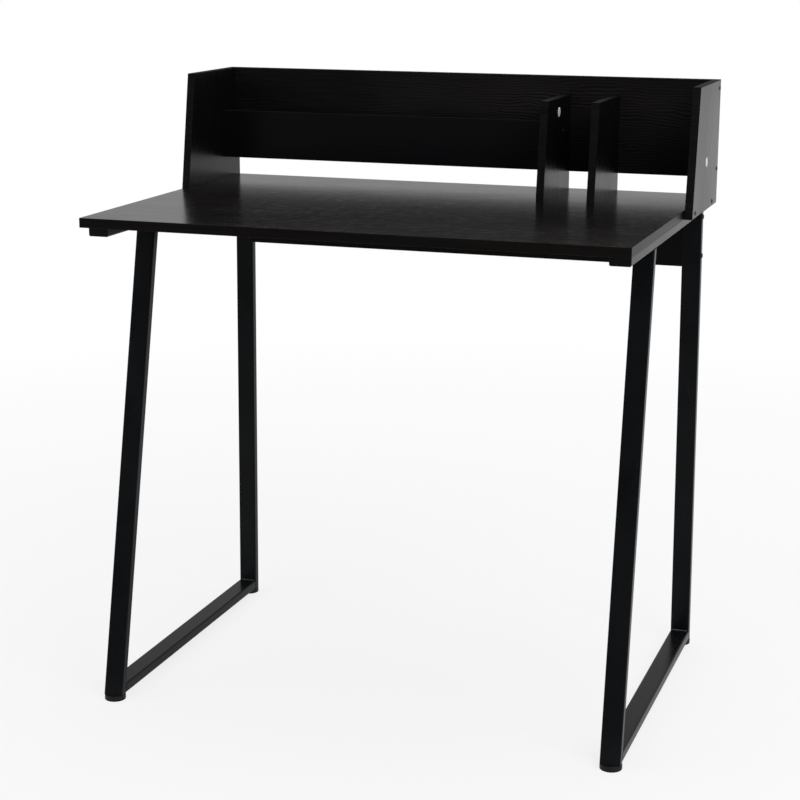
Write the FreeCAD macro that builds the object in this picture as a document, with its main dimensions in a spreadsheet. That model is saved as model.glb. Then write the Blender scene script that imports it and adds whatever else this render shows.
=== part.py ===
import FreeCAD, Part
import math
import os
import Sketcher

# Computer desk with a low hutch along its rear edge, in millimetres.
# X runs to the right, Y to the rear and Z up. The origin is on the floor, under the middle of the desk.

SIZES = {
    # Desk top and the band glued round every board's edges
    "board_width": 800,
    "board_depth": 560,
    "board_thickness": 14,
    "desk_height": 743,
    "band_thickness": 0.8,
    "band_edge_radius": 0.4,
    # Hutch: end panels, rear panel, dividers and the board that makes a slot in the left bay
    "hutch_rise": 177,
    "end_panel_thickness": 12,
    "end_panel_foot_depth": 207.5,
    "end_panel_top_depth": 174,
    "rear_panel_thickness": 15,
    "rear_panel_gap": 27,
    "divider_thickness": 12,
    "divider_height": 148.8,
    "divider_foot_depth": 162.5,
    "divider_top_depth": 142.7,
    "right_bay_width": 143,
    "middle_bay_width": 67,
    "slot_board_thickness": 12,
    "slot_board_height": 76.4,
    "slot_board_gap": 33.5,
    "slot_width": 38,
    # Side frames of flat steel tube, and the apron between their rear legs
    "tube_width": 30,
    "tube_depth": 15,
    "tube_wall": 1.2,
    "tube_corner_radius": 2.5,
    "rail_inset": 4.3,
    "rail_setback": 20,
    "frame_splay": 5.5,
    "front_leg_top_setback": 173.7,
    "front_leg_foot_setback": 24.4,
    "apron_height": 100,
    "apron_thickness": 12,
    "weld_radius": 2.5,
    "plug_flange": 2,
    "plug_depth": 12,
    "plug_clearance": 0.2,
    # Levelling feet: a pad moulded on a stud, which turns in an insert in the leg's end
    "foot_height": 8,
    "foot_radius": 16,
    "foot_rest_radius": 15.2,
    "foot_rim_height": 0.8,
    "foot_shoulder": 1.2,
    "foot_edge_radius": 0.6,
    "foot_shift": 1,
    "stud_radius": 3,
    "stud_root": 3,
    "thread_clearance": 0.05,
    "insert_height": 16,
    # Furniture screws that hold the boards, and where they stand
    "screw_head_radius": 3.7,
    "screw_head_height": 1,
    "screw_radius": 2.5,
    "screw_length": 38,
    "screw_socket_radius": 2,
    "screw_socket_depth": 0.8,
    "bore_clearance": 0.1,
    "end_screw_front_setback": 183.5,
    "end_screw_rear_setback": 41,
    "rear_screw_margin": 13,
    "slot_screw_margin": 15,
    "divider_screw_rear_setback": 30,
    "divider_screw_front_setback": 120,
    "divider_screw_margin": 20,
    "dowel_radius": 3,
    "dowel_length": 24,
    "dowel_seat": 8,
    # Screws from the top rails up into the desk top
    "rail_screw_head_radius": 4.5,
    "rail_screw_head_height": 2.5,
    "rail_screw_radius": 2.1,
    "rail_screw_grip": 9,
    "rail_screw_front_setback": 60,
    "rail_screw_rear_setback": 60,
    # Bolts through the rear legs into threaded sleeves in the apron's ends
    "bolt_head_radius": 4.5,
    "bolt_head_height": 1.6,
    "bolt_radius": 3,
    "bolt_reach": 20,
    "bolt_seat_gap": 0.1,
    "bolt_top_margin": 20.7,
    "bolt_low_margin": 17.8,
    "sleeve_radius": 4.4,
    "sleeve_length": 18,
    "sleeve_inset": 0.8,
    # White caps over the spare holes in the left divider and the right end panel
    "cap_radius": 7.5,
    "cap_height": 1.2,
    "cap_stem_radius": 2.5,
    "cap_stem_length": 7,
    "divider_cap_setback": 74.8,
    "divider_cap_height": 126.7,
    "end_cap_setback": 103.3,
    "end_cap_height": 60,
    # How far a cutting tool runs past the face that it starts from
    "cut_overrun": 2,
}

RAIL_SCREW_COUNT = 3
SIDES = {"left": -1, "right": 1}
AXES = {
    "+X": FreeCAD.Vector(1, 0, 0),
    "-X": FreeCAD.Vector(-1, 0, 0),
    "+Y": FreeCAD.Vector(0, 1, 0),
    "-Y": FreeCAD.Vector(0, -1, 0),
    "+Z": FreeCAD.Vector(0, 0, 1),
    "-Z": FreeCAD.Vector(0, 0, -1),
}


class Size:
    """A length or ratio: its value, and the expression that binds it to the sheet's cells."""

    def __init__(self, text, value):
        self.text = text
        self.value = value

    def __add__(self, other):
        other = as_size(other)
        return Size(f"({self.text} + {other.text})", self.value + other.value)

    def __sub__(self, other):
        other = as_size(other)
        return Size(f"({self.text} - {other.text})", self.value - other.value)

    def __mul__(self, other):
        other = as_size(other)
        return Size(f"({self.text} * {other.text})", self.value * other.value)

    def __truediv__(self, other):
        other = as_size(other)
        return Size(f"({self.text} / {other.text})", self.value / other.value)

    def __neg__(self):
        return Size(f"(-1 * {self.text})", -self.value)

    def root(self):
        return Size(f"sqrt({self.text})", math.sqrt(self.value))


def as_size(number):
    if isinstance(number, Size):
        return number
    return Size(str(number), float(number))


document = FreeCAD.newDocument("computer_desk")
sheet = document.addObject("Spreadsheet::Sheet", "Sizes")
for row, (name, value) in enumerate(SIZES.items(), 1):
    sheet.set(f"A{row}", name.replace("_", " "))
    sheet.set(f"B{row}", str(value))
    sheet.setAlias(f"B{row}", name)
document.recompute()


def size(name):
    return Size(f"Sizes.{name}", float(sheet.get(name)))


def bind(item, name, length):
    item.setExpression(name, as_size(length).text)


def place(item, x, y, z):
    for letter, length in zip("xyz", (x, y, z)):
        bind(item, f"Placement.Base.{letter}", length)
    return item


nodes = {}


def node(label, item):
    """Names an object as one of the desk's pieces."""
    item.Label = label
    nodes[label] = item
    return item


def box(low, lengths):
    """A block from its low corner and its three lengths."""
    item = document.addObject("Part::Box", "block")
    for name, length in zip(("Length", "Width", "Height"), lengths):
        bind(item, name, length)
    return place(item, *low)


def rod(radius, length, start, axis):
    """A round bar that starts at a point and runs along an axis."""
    item = document.addObject("Part::Cylinder", "rod")
    item.Placement.Rotation = FreeCAD.Rotation(AXES["+Z"], AXES[axis])
    bind(item, "Radius", radius)
    bind(item, "Height", length)
    return place(item, *start)


def gather(items):
    group = document.addObject("Part::Compound", "group")
    group.Links = items
    return group


def cut(base, tools):
    if not tools:
        return base
    item = document.addObject("Part::Cut", "cut")
    item.Base = base
    item.Tool = tools[0] if len(tools) == 1 else gather(tools)
    return item


def fuse(items):
    item = document.addObject("Part::MultiFuse", "fuse")
    item.Shapes = items
    return item


def new_sketch(body, role):
    plane = next(feature for feature in body.Origin.OriginFeatures if feature.Role == role)
    sketch = body.newObject("Sketcher::SketchObject", "outline")
    sketch.AttachmentSupport = (plane, "")
    sketch.MapMode = "FlatFace"
    return sketch


def draw_loop(sketch, points):
    """A closed outline whose corners are each held from the sketch's origin."""
    points = [(as_size(x), as_size(y)) for x, y in points]
    corners = [FreeCAD.Vector(x.value, y.value, 0) for x, y in points]
    count = len(points)
    for index in range(count):
        line = Part.LineSegment(corners[index], corners[(index + 1) % count])
        sketch.addGeometry(line, False)
    for index in range(count):
        following = (index + 1) % count
        sketch.addConstraint(Sketcher.Constraint("Coincident", index, 2, following, 1))
    for index, (x, y) in enumerate(points):
        for kind, length, zero_line in (("DistanceX", x, -2), ("DistanceY", y, -1)):
            if length.text == "0":
                sketch.addConstraint(Sketcher.Constraint("PointOnObject", index, 1, zero_line))
                continue
            number = sketch.addConstraint(Sketcher.Constraint(kind, -1, 1, index, 1, length.value))
            sketch.setExpression(f"Constraints[{number}]", length.text)


def slab(role, points, thickness, reverse=False, lean=None):
    """A flat outline pushed out by its thickness, straight or along a leaning direction."""
    body = document.addObject("PartDesign::Body", "slab")
    sketch = new_sketch(body, role)
    draw_loop(sketch, points)
    pad = body.newObject("PartDesign::Pad", "pad")
    pad.Profile = sketch
    pad.Reversed = reverse
    bind(pad, "Length", thickness)
    if lean:
        pad.UseCustomVector = True
        pad.AlongSketchNormal = True
        pad.Direction = FreeCAD.Vector(as_size(lean[0]).value, as_size(lean[1]).value, 1)
        bind(pad, "Direction.x", lean[0])
        bind(pad, "Direction.y", lean[1])
    document.recompute()
    return body


def round_edges(body, radius, chosen):
    """Rounds the edges of a body's last feature that the chosen test picks."""
    base = body.Tip
    names = [f"Edge{number}" for number, edge in enumerate(base.Shape.Edges, 1) if chosen(edge)]
    fillet = body.newObject("PartDesign::Fillet", "rounding")
    fillet.Base = (base, names)
    bind(fillet, "Radius", radius)
    document.recompute()
    return body


def runs_along(direction):
    """A test for straight edges that run mostly along a direction."""

    def chosen(edge):
        if len(edge.Vertexes) < 2:
            return False
        span = edge.Vertexes[1].Point - edge.Vertexes[0].Point
        return abs(span * direction) > abs(span.cross(direction).Length)

    return chosen


def every_edge(edge):
    return True


def turned(points):
    """A profile of radius and height, turned about the upright axis."""
    body = document.addObject("PartDesign::Body", "turned")
    sketch = new_sketch(body, "XZ_Plane")
    draw_loop(sketch, points)
    turn = body.newObject("PartDesign::Revolution", "turn")
    turn.Profile = sketch
    turn.ReferenceAxis = (sketch, ["V_Axis"])
    document.recompute()
    return body


# Heights, and places across and along the desk, that several pieces share

band = size("band_thickness")
overrun = size("cut_overrun")
half_width = size("board_width") / 2
overall_depth = size("board_depth") + size("rear_panel_thickness")
front = -overall_depth / 2
board_rear = front + size("board_depth")
rear_plane = board_rear + size("rear_panel_thickness")
desk_height = size("desk_height")
board_low = desk_height - size("board_thickness")
hutch_top = desk_height + size("hutch_rise")
rear_panel_low = desk_height + size("rear_panel_gap")
slot_low = desk_height + size("slot_board_gap")
slot_top = slot_low + size("slot_board_height")
slot_front = board_rear - size("slot_width") - size("slot_board_thickness")
slot_middle = slot_front + size("slot_board_thickness") / 2
divider_thickness = size("divider_thickness")
right_divider_x = half_width - size("right_bay_width") - divider_thickness
left_divider_x = right_divider_x - size("middle_bay_width") - divider_thickness
DIVIDERS = {"left": left_divider_x, "right": right_divider_x}

tube_width = size("tube_width")
tube_depth = size("tube_depth")
tube_wall = size("tube_wall")
foot_height = size("foot_height")
rear_leg_y = board_rear - tube_depth
rail_low = board_low - tube_depth
rail_outer = half_width - size("rail_inset")
foot_outer = rail_outer + size("frame_splay")
splay_slope = size("frame_splay") / (board_low - foot_height)
front_leg_rise = rail_low - foot_height
front_lean = (size("front_leg_top_setback") - size("front_leg_foot_setback")) / front_leg_rise
front_stretch = (as_size(1) + front_lean * front_lean).root()
front_leg_y = front + size("front_leg_foot_setback")
front_leg_depth = tube_depth * front_stretch
apron_low = board_low - size("apron_height")
apron_front = rear_leg_y + (tube_depth - size("apron_thickness")) / 2
apron_rear = apron_front + size("apron_thickness")


def low_x(side, outer, width):
    """The lower X of a piece whose outer face lies at that distance from the middle."""
    return outer - width if side > 0 else -outer


def leg_outer(height):
    """How far out a leg's outer face stands at a height: the frames splay a little to the floor."""
    return rail_outer + splay_slope * (board_low - height)


# Fasteners come first: each one leaves its bore in the pieces that it passes through

bores = {}


def screw_shape(head_radius, head_height, radius, length, socket):
    """A headed screw that points down, with the top of its head at the origin."""
    head = rod(head_radius, head_height, (0, 0, 0), "-Z")
    shank = rod(radius, head_height + length, (0, 0, 0), "-Z")
    shape = fuse([head, shank])
    if not socket:
        return shape
    hexagon = document.addObject("Part::Prism", "socket")
    hexagon.Polygon = 6
    bind(hexagon, "Circumradius", socket[0])
    bind(hexagon, "Height", socket[1] + overrun)
    place(hexagon, 0, 0, -socket[1])
    return cut(shape, [hexagon])


def moved(point, axis, distance):
    """A point shifted along an axis."""
    direction = AXES[axis]
    return tuple(as_size(value) + as_size(distance) * int(step) for value, step in zip(point, direction))


def bore(radius, length, start, axis, pieces):
    """A round hole through the named pieces."""
    tool = rod(radius, length, start, axis)
    for piece in pieces:
        bores.setdefault(piece, []).append(tool)


class Fastener:
    """One kind of fastener, whose copies become one node. The head lies on the face or is sunk flush."""

    def __init__(self, label, shape, head, shank, sunk=False):
        self.label = label
        self.shape = shape
        self.head_radius, self.head_height = head
        self.radius, self.length = shank
        self.sunk = sunk
        self.copies = []

    def put(self, face, axis, pieces):
        """Sets a copy at a point on a face, and bores the pieces that it passes through."""
        seat = moved(face, axis, self.head_height) if self.sunk else face
        link = document.addObject("App::Link", "fastener")
        link.LinkedObject = self.shape
        link.Placement.Rotation = FreeCAD.Rotation(AXES["-Z"], AXES[axis])
        self.copies.append(place(link, *moved(seat, axis, -self.head_height)))
        clearance = size("bore_clearance")
        outside = moved(face, axis, -overrun)
        if self.sunk:
            bore(self.head_radius + clearance, overrun + self.head_height, outside, axis, pieces)
        start = moved(seat, axis, -overrun)
        bore(self.radius + clearance, overrun + self.length + clearance, start, axis, pieces)

    def finish(self):
        node(self.label, gather(self.copies))


screw_head = (size("screw_head_radius"), size("screw_head_height"))
screw_shank = (size("screw_radius"), size("screw_length"))
screw_socket = (size("screw_socket_radius"), size("screw_socket_depth"))
board_screw = screw_shape(*screw_head, *screw_shank, screw_socket)

end_panel_screws = Fastener("end_panel_screws", board_screw, screw_head, screw_shank)
rear_panel_screws = Fastener("rear_panel_screws", board_screw, screw_head, screw_shank)
slot_board_screws = Fastener("slot_board_screws", board_screw, screw_head, screw_shank)
divider_screws = Fastener("divider_screws", board_screw, screw_head, screw_shank)

# Two screws through each end panel into the desk top's end, and two into the rear panel's end

end_outer = half_width + size("end_panel_thickness")
for side_name, side in SIDES.items():
    panel = f"{side_name}_end_panel"
    inward = "-X" if side > 0 else "+X"
    face_x = end_outer * side
    board_middle = board_low + size("board_thickness") / 2
    for setback in (size("end_screw_front_setback"), size("end_screw_rear_setback")):
        seat = (face_x, rear_plane - setback, board_middle)
        end_panel_screws.put(seat, inward, [panel, "desk_top", "desk_top_edge_band"])
    rear_middle = board_rear + size("rear_panel_thickness") / 2
    margin = size("rear_screw_margin")
    for height in (rear_panel_low + margin, hutch_top - margin):
        rear_panel_screws.put((face_x, rear_middle, height), inward, [panel, "rear_panel"])

# The slot board hangs between the left end panel and the left divider, on a screw and a dowel at each end

slot_screw_height = slot_top - size("slot_screw_margin")
slot_left_seat = (-end_outer, slot_middle, slot_screw_height)
slot_board_screws.put(slot_left_seat, "+X", ["left_end_panel", "slot_board"])
slot_right_seat = (left_divider_x + divider_thickness, slot_middle, slot_screw_height)
slot_board_screws.put(slot_right_seat, "-X", ["left_divider", "slot_board"])

dowel_radius = size("dowel_radius")
dowel_length = size("dowel_length")
dowels = []
for face_x, axis, panel in ((-half_width, "+X", "left_end_panel"), (left_divider_x, "-X", "left_divider")):
    seat = (face_x, slot_middle, slot_low + size("slot_screw_margin"))
    start = moved(seat, axis, -size("dowel_seat"))
    dowels.append(rod(dowel_radius, dowel_length, start, axis))
    clearance = size("bore_clearance")
    hole_start = moved(start, axis, -clearance)
    hole_length = dowel_length + clearance * 2
    bore(dowel_radius + clearance, hole_length, hole_start, axis, [panel, "slot_board"])
node("slot_board_dowels", gather(dowels))

# Each divider is screwed from below the desk top and through the rear panel

for side_name, divider_x in DIVIDERS.items():
    divider = f"{side_name}_divider"
    middle_x = divider_x + divider_thickness / 2
    for setback in (size("divider_screw_rear_setback"), size("divider_screw_front_setback")):
        divider_screws.put((middle_x, board_rear - setback, board_low), "+Z", ["desk_top", divider])
    margin = size("divider_screw_margin")
    for height in (rear_panel_low + margin, desk_height + size("divider_height") - margin):
        divider_screws.put((middle_x, rear_plane, height), "-Y", ["rear_panel", divider])

# White caps sit flush over spare holes

cap_head = (size("cap_radius"), size("cap_height"))
cap_stem = (size("cap_stem_radius"), size("cap_stem_length"))
cap_shape = screw_shape(*cap_head, *cap_stem, None)
cover_caps = Fastener("cover_caps", cap_shape, cap_head, cap_stem, sunk=True)
divider_cap_y = board_rear - size("divider_cap_setback")
divider_cap_z = desk_height + size("divider_cap_height")
cover_caps.put((left_divider_x + divider_thickness, divider_cap_y, divider_cap_z), "-X", ["left_divider"])
end_cap_y = rear_plane - size("end_cap_setback")
cover_caps.put((end_outer, end_cap_y, desk_height + size("end_cap_height")), "-X", ["right_end_panel"])

# Pan-headed screws hold each top rail to the desk top, and bolts hold the apron to the rear legs

rail_screw_head = (size("rail_screw_head_radius"), size("rail_screw_head_height"))
rail_screw_shank = (size("rail_screw_radius"), tube_depth + size("rail_screw_grip"))
rail_screw = screw_shape(*rail_screw_head, *rail_screw_shank, screw_socket)
rail_screws = Fastener("rail_screws", rail_screw, rail_screw_head, rail_screw_shank)

bolt_head = (size("bolt_head_radius"), size("bolt_head_height"))
bolt_shank = (size("bolt_radius"), size("bolt_seat_gap") + tube_width + size("bolt_reach"))
apron_bolt = screw_shape(*bolt_head, *bolt_shank, screw_socket)
apron_bolts = Fastener("apron_bolts", apron_bolt, bolt_head, bolt_shank)
sleeve_length = size("sleeve_length")
sleeve_body = rod(size("sleeve_radius"), sleeve_length, (0, 0, 0), "+X")
sleeve_thread = rod(
    size("bolt_radius") + size("bore_clearance"), sleeve_length + overrun * 2, (-overrun, 0, 0), "+X"
)
sleeve = cut(sleeve_body, [sleeve_thread])
sleeves = []

rail_screw_front = front + size("rail_screw_front_setback")
rail_screw_span = board_rear - size("rail_screw_rear_setback") - rail_screw_front
rail_screw_step = rail_screw_span / (RAIL_SCREW_COUNT - 1)
bolt_y = rear_leg_y + tube_depth / 2
bolt_heights = (apron_low + size("bolt_low_margin"), board_low - size("bolt_top_margin"))
for side_name, side in SIDES.items():
    inward = "-X" if side > 0 else "+X"
    rail_middle_x = (rail_outer - tube_width / 2) * side
    for count in range(RAIL_SCREW_COUNT):
        screw_y = rail_screw_front + rail_screw_step * count
        rail_screws.put((rail_middle_x, screw_y, rail_low), "+Z", [f"{side_name}_top_rail", "desk_top"])
    for height in bolt_heights:
        face = leg_outer(height)
        seat_x = (face + size("bolt_seat_gap")) * side
        apron_bolts.put((seat_x, bolt_y, height), inward, [f"{side_name}_rear_leg", "apron"])
        apron_end = face - tube_width
        sleeve_out = apron_end - size("sleeve_inset")
        link = document.addObject("App::Link", "sleeve_copy")
        link.LinkedObject = sleeve
        sleeves.append(place(link, low_x(side, sleeve_out, sleeve_length), bolt_y, height))
        hole_start = ((apron_end + overrun) * side, bolt_y, height)
        hole_length = overrun + size("sleeve_inset") + sleeve_length + size("bore_clearance")
        bore(size("sleeve_radius") + size("bore_clearance"), hole_length, hole_start, inward, ["apron"])
node("apron_sleeves", gather(sleeves))

for fastener in (end_panel_screws, rear_panel_screws, slot_board_screws, divider_screws, cover_caps,
                 rail_screws, apron_bolts):
    fastener.finish()


def piece(label, base):
    """Makes a node of a solid, with the bores that the fasteners leave in it."""
    return node(label, cut(base, bores.get(label, [])))


# Desk top: a melamine-faced board with one band round its four edges, whose corners are trimmed round

board_width = size("board_width")
board_depth = size("board_depth")
board_thickness = size("board_thickness")
core_lengths = (board_width - band * 2, board_depth - band * 2, board_thickness)
board_core = box((-half_width + band, front + band, board_low), core_lengths)
board_outline = [(0, 0), (board_width, 0), (board_width, board_depth), (0, board_depth)]
board_whole = place(slab("XY_Plane", board_outline, board_thickness), -half_width, front, board_low)
round_edges(board_whole, size("band_edge_radius"), every_edge)
piece("desk_top", board_core)
piece("desk_top_edge_band", cut(board_whole, [board_core]))


def upright_panel(label, x, thickness, rear, low, foot_depth, top_depth, height, rear_band, low_band):
    """A panel that stands across the desk, with a sloping front edge, and the band on its edges."""
    rear_limit = foot_depth.value - rear_band.value - band.value / 2
    low_limit = low_band.value + band.value / 2

    def banded(edge):
        """Edges that lie in a rear or lower face with no band stay square."""
        points = [vertex.Point for vertex in edge.Vertexes]
        at_rear = all(point.y > rear_limit for point in points)
        at_foot = all(point.z < low_limit for point in points)
        return not (at_rear and not rear_band.value) and not (at_foot and not low_band.value)

    slope = (foot_depth - top_depth) / height
    slant = band * (as_size(1) + slope * slope).root()
    top = height - band
    outline = [(0, 0), (foot_depth, 0), (foot_depth, height), (foot_depth - top_depth, height)]
    core_outline = [
        (slope * low_band + slant, low_band),
        (foot_depth - rear_band, low_band),
        (foot_depth - rear_band, top),
        (slope * top + slant, top),
    ]
    corner = (x, rear - foot_depth, low)
    core = place(slab("YZ_Plane", core_outline, thickness), *corner)
    whole = round_edges(slab("YZ_Plane", outline, thickness), size("band_edge_radius"), banded)
    place(whole, *corner)
    piece(label, core)
    piece(f"{label}_edge_band", cut(whole, [core]))


# End panels: banded all round, screwed to the outside of the desk top's ends

for side_name, side in SIDES.items():
    upright_panel(
        f"{side_name}_end_panel",
        low_x(side, end_outer, size("end_panel_thickness")),
        size("end_panel_thickness"),
        rear_plane,
        board_low,
        size("end_panel_foot_depth"),
        size("end_panel_top_depth"),
        hutch_top - board_low,
        band,
        band,
    )

# Dividers: they stand on the desk top against the rear panel, banded in front and on top

for side_name, divider_x in DIVIDERS.items():
    upright_panel(
        f"{side_name}_divider",
        divider_x,
        divider_thickness,
        board_rear,
        desk_height,
        size("divider_foot_depth"),
        size("divider_top_depth"),
        size("divider_height"),
        as_size(0),
        as_size(0),
    )


def band_strip(low, width, depth, outer_side):
    """A level strip of band, with its two long outer edges trimmed round."""
    along = runs_along(AXES["+X"])
    outline = [(0, 0), (width, 0), (width, depth), (0, depth)]
    strip = slab("XY_Plane", outline, band)

    def outer(edge):
        return along(edge) and (edge.CenterOfMass.z - band.value / 2) * outer_side > 0

    return place(round_edges(strip, size("band_edge_radius"), outer), *low)


def long_board(label, low, lengths):
    """A board along the desk, with a strip of band on its top and bottom edges."""
    x, y, z = low
    width, depth, height = lengths
    piece(label, box((x, y, z + band), (width, depth, height - band * 2)))
    strips = [
        band_strip((x, y, z), width, depth, -1),
        band_strip((x, y, z + height - band), width, depth, 1),
    ]
    piece(f"{label}_edge_bands", gather(strips))


# Rear panel between the end panels, and the slot board in front of it in the left bay

rear_panel_lengths = (size("board_width"), size("rear_panel_thickness"), hutch_top - rear_panel_low)
long_board("rear_panel", (-half_width, board_rear, rear_panel_low), rear_panel_lengths)
slot_board_lengths = (left_divider_x + half_width, size("slot_board_thickness"), size("slot_board_height"))
long_board("slot_board", (-half_width, slot_front, slot_low), slot_board_lengths)


def leaning_block(across, deep, rise, lean, corner):
    """A level rectangle carried up along a leaning line."""
    outline = [(0, 0), (across, 0), (across, deep), (0, deep)]
    return place(slab("XY_Plane", outline, rise, lean=lean), *corner)


def leg(label, side, y, rise, lean_y, stretch):
    """A tube leg, cut level at both ends."""
    lean = (splay_slope * -side, lean_y)
    x = low_x(side, foot_outer, tube_width)
    tube = leaning_block(tube_width, tube_depth * stretch, rise, lean, (x, y, foot_height))
    round_edges(tube, size("tube_corner_radius"), runs_along(AXES["+Z"]))
    wall_deep = tube_wall * stretch
    hollow = leaning_block(
        tube_width - tube_wall * 2,
        tube_depth * stretch - wall_deep * 2,
        rise + overrun * 2,
        lean,
        (
            x + tube_wall - lean[0] * overrun,
            y + wall_deep - as_size(lean_y) * overrun,
            foot_height - overrun,
        ),
    )
    piece(label, cut(tube, [hollow]))


def rail(label, x, low, y, rear, lean):
    """A level tube along Y, whose front end follows a leaning face."""
    length = rear - y
    outline = [(0, 0), (length, 0), (length, tube_depth), (lean * tube_depth, tube_depth)]
    tube = place(slab("YZ_Plane", outline, tube_width), x, y, low)
    round_edges(tube, size("tube_corner_radius"), runs_along(AXES["+Y"]))
    top = tube_depth - tube_wall
    hollow_length = length + overrun * 2
    hollow_outline = [
        (lean * tube_wall, tube_wall),
        (hollow_length, tube_wall),
        (hollow_length, top),
        (lean * top, top),
    ]
    hollow = slab("YZ_Plane", hollow_outline, tube_width - tube_wall * 2)
    piece(label, cut(tube, [place(hollow, x + tube_wall, y - overrun, low)]))


def weld_bead(x, y, z, along, start, angle):
    """A rounded bead in the corner between two tubes, swept from a start direction about an axis."""
    bead = document.addObject("Part::Cylinder", "bead")
    side_direction = AXES[along].cross(AXES[start])
    bead.Placement.Rotation = FreeCAD.Rotation(AXES[start], side_direction, AXES[along], "ZXY")
    bind(bead, "Radius", size("weld_radius"))
    bind(bead, "Height", tube_width - size("tube_corner_radius") * 2)
    bead.setExpression("Angle", angle)
    return place(bead, x, y, z)


def end_plug(label, middle):
    """A plastic plug for a rail's open front end: a flange of the tube's outline and a stem inside it."""
    flange_outline = [(0, 0), (tube_width, 0), (tube_width, tube_depth), (0, tube_depth)]
    flange = slab("XY_Plane", flange_outline, size("plug_flange"))
    round_edges(flange, size("tube_corner_radius"), runs_along(AXES["+Z"]))
    gap = tube_wall + size("plug_clearance")
    stem_lengths = (tube_width - gap * 2, tube_depth - gap * 2, size("plug_depth"))
    stem = box((gap, gap, -size("plug_depth")), stem_lengths)
    plug = fuse([flange, stem])
    plug.Placement.Rotation = FreeCAD.Rotation(AXES["+X"], AXES["+Z"], AXES["-Y"], "ZXY")
    node(label, place(plug, middle[0] - tube_width / 2, middle[1], middle[2] - tube_depth / 2))


# Side frames: top rail under the desk top, leaning front leg, upright rear leg and bottom rail

square_angle = "90 deg"
closed_angle = f"90 deg - atan({front_lean.text})"
open_angle = f"90 deg + atan({front_lean.text})"
for side_name, side in SIDES.items():
    rail_x = low_x(side, rail_outer, tube_width)
    foot_x = low_x(side, foot_outer, tube_width)
    rail_front = front + size("rail_setback")
    tube_front = rail_front + size("plug_flange")
    rail(f"{side_name}_top_rail", rail_x, rail_low, tube_front, rear_leg_y, as_size(0))
    leg(f"{side_name}_front_leg", side, front_leg_y, front_leg_rise, front_lean, front_stretch)
    leg(f"{side_name}_rear_leg", side, rear_leg_y, board_low - foot_height, as_size(0), as_size(1))
    leg_back = front_leg_y + front_leg_depth
    rail(f"{side_name}_bottom_rail", foot_x, foot_height, leg_back, rear_leg_y, front_lean)

    rail_middle = (rail_outer - tube_width / 2) * side
    end_plug(f"{side_name}_rail_plug", (rail_middle, tube_front, rail_low + tube_depth / 2))

    bead_inset = size("tube_corner_radius")
    low_bead_x = foot_x + bead_inset
    high_bead_x = rail_x + bead_inset
    low_corner = foot_height + tube_depth
    front_leg_top_y = front_leg_y + front_lean * front_leg_rise
    front_leg_top_back = front_leg_top_y + front_leg_depth
    far_bead_x = rail_x + tube_width - bead_inset
    beads = [
        weld_bead(low_bead_x, rear_leg_y, low_corner, "+X", "+Z", square_angle),
        weld_bead(low_bead_x, leg_back + front_lean * tube_depth, low_corner, "+X", "+Y", closed_angle),
        weld_bead(high_bead_x, front_leg_top_y, rail_low, "+X", "-Y", closed_angle),
        weld_bead(far_bead_x, front_leg_top_back, rail_low, "-X", "+Y", open_angle),
        weld_bead(high_bead_x, rear_leg_y, rail_low, "+X", "-Y", square_angle),
    ]
    node(f"{side_name}_weld_beads", gather(beads))

# Apron: a low board between the rear legs, with a strip of band along its lower edge


def apron_slab(low, high):
    """A level slice of the apron, whose ends follow the splay of the rear legs."""
    low_half = leg_outer(low) - tube_width
    high_half = leg_outer(high) - tube_width
    step = low_half - high_half
    outline = [(0, 0), (low_half * 2, 0), (low_half * 2 - step, high - low), (step, high - low)]
    return place(slab("XZ_Plane", outline, size("apron_thickness")), -low_half, apron_rear, low)


def under_edge(edge):
    """The long edges along the bottom of the apron's band."""
    return runs_along(AXES["+X"])(edge) and edge.CenterOfMass.z < band.value / 2


apron_band = apron_slab(apron_low, apron_low + band)
piece("apron", apron_slab(apron_low + band, board_low))
piece("apron_edge_band", round_edges(apron_band, size("band_edge_radius"), under_edge))

# Levelling feet: the insert is pressed into the leg's end, and the stud and its pad screw up into it

stud_radius = size("stud_radius")
thread_radius = stud_radius + size("thread_clearance")
insert_gap = tube_wall + size("plug_clearance")
FOOT_ROWS = {
    "front": (front_leg_y, front_lean, front_stretch, size("foot_shift")),
    "rear": (rear_leg_y, as_size(0), as_size(1), as_size(0)),
}
for side_name, side in SIDES.items():
    for row_name, (leg_y, lean_y, stretch, shift) in FOOT_ROWS.items():
        foot = f"{side_name}_{row_name}_foot"
        foot_x = (foot_outer - tube_width / 2) * side
        foot_y = leg_y + tube_depth * stretch / 2 + shift
        gap_deep = insert_gap * stretch
        insert = leaning_block(
            tube_width - insert_gap * 2,
            tube_depth * stretch - gap_deep * 2,
            size("insert_height"),
            (splay_slope * -side, lean_y),
            (low_x(side, foot_outer, tube_width) + insert_gap, leg_y + gap_deep, foot_height),
        )
        thread_length = size("insert_height") + overrun * 2
        thread = rod(thread_radius, thread_length, (foot_x, foot_y, foot_height - overrun), "+Z")
        node(f"{foot}_insert", cut(insert, [thread]))

        stud_root = size("stud_root")
        stud_length = foot_height + size("insert_height") - stud_root
        node(f"{foot}_stud", rod(stud_radius, stud_length, (foot_x, foot_y, stud_root), "+Z"))

        foot_radius = size("foot_radius")
        shoulder = size("foot_shoulder")
        pad = turned([
            (0, 0),
            (size("foot_rest_radius"), 0),
            (foot_radius, size("foot_rim_height")),
            (foot_radius, foot_height - shoulder),
            (foot_radius - shoulder, foot_height),
            (thread_radius, foot_height),
            (thread_radius, stud_root),
            (0, stud_root),
        ])
        rim = foot_radius.value

        def on_rim(edge):
            return isinstance(edge.Curve, Part.Circle) and math.isclose(edge.Curve.Radius, rim)

        round_edges(pad, size("foot_edge_radius"), on_rim)
        node(f"{foot}_pad", place(pad, foot_x, foot_y, 0))

# Every feature has to have built, and every piece has to be sound, before anything is written

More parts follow.
